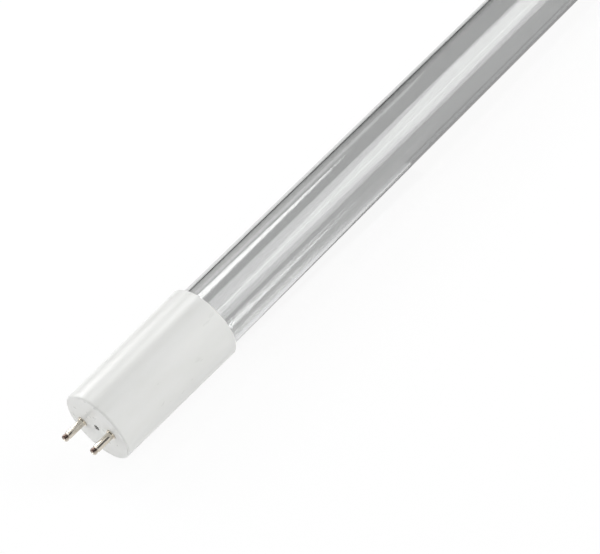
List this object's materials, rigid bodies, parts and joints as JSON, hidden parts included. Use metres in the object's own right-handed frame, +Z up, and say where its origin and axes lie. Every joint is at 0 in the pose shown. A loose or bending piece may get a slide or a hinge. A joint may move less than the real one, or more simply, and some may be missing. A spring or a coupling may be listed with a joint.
{
  "type": "uvc germicidal lamp tube",
  "caption": "Straight clear quartz discharge lamp with a long white moulded cap and a pair of round contact pins at each end.",
  "frame": {"origin": "centre of the lamp, on its axis halfway between the two caps", "axes": "+X along the lamp from the near end to the far end, +Y across it in the plane of the four pins, +Z up"},
  "size_m": [0.452, 0.0246, 0.0246],
  "materials": {
    "quartz": "clear",
    "cap_plastic": "satin",
    "pin_metal": "bright nickel plate on brass",
    "cement": "matt",
    "lead_wire": "drawn wire",
    "foil": "thin rolled molybdenum",
    "tungsten": "coated with pale emitter",
    "mercury": "liquid bead"
  },
  "bodies": {
    "root": {"quartz_tube": "quartz", "mercury_bead": "mercury", "near_cap_shell": "cap_plastic", "near_cement_ring": "cement", "near_pin_a": "pin_metal", "near_pin_b": "pin_metal", "near_outer_lead_a": "lead_wire", "near_outer_lead_b": "lead_wire", "near_foil_a": "foil", "near_foil_b": "foil", "near_inner_lead_a": "lead_wire", "near_inner_lead_b": "lead_wire", "near_cathode_coil": "tungsten", "far_cap_shell": "cap_plastic", "far_cement_ring": "cement", "far_pin_a": "pin_metal", "far_pin_b": "pin_metal", "far_outer_lead_a": "lead_wire", "far_outer_lead_b": "lead_wire", "far_foil_a": "foil", "far_foil_b": "foil", "far_inner_lead_a": "lead_wire", "far_inner_lead_b": "lead_wire", "far_cathode_coil": "tungsten"}
  },
  "joints": []
}
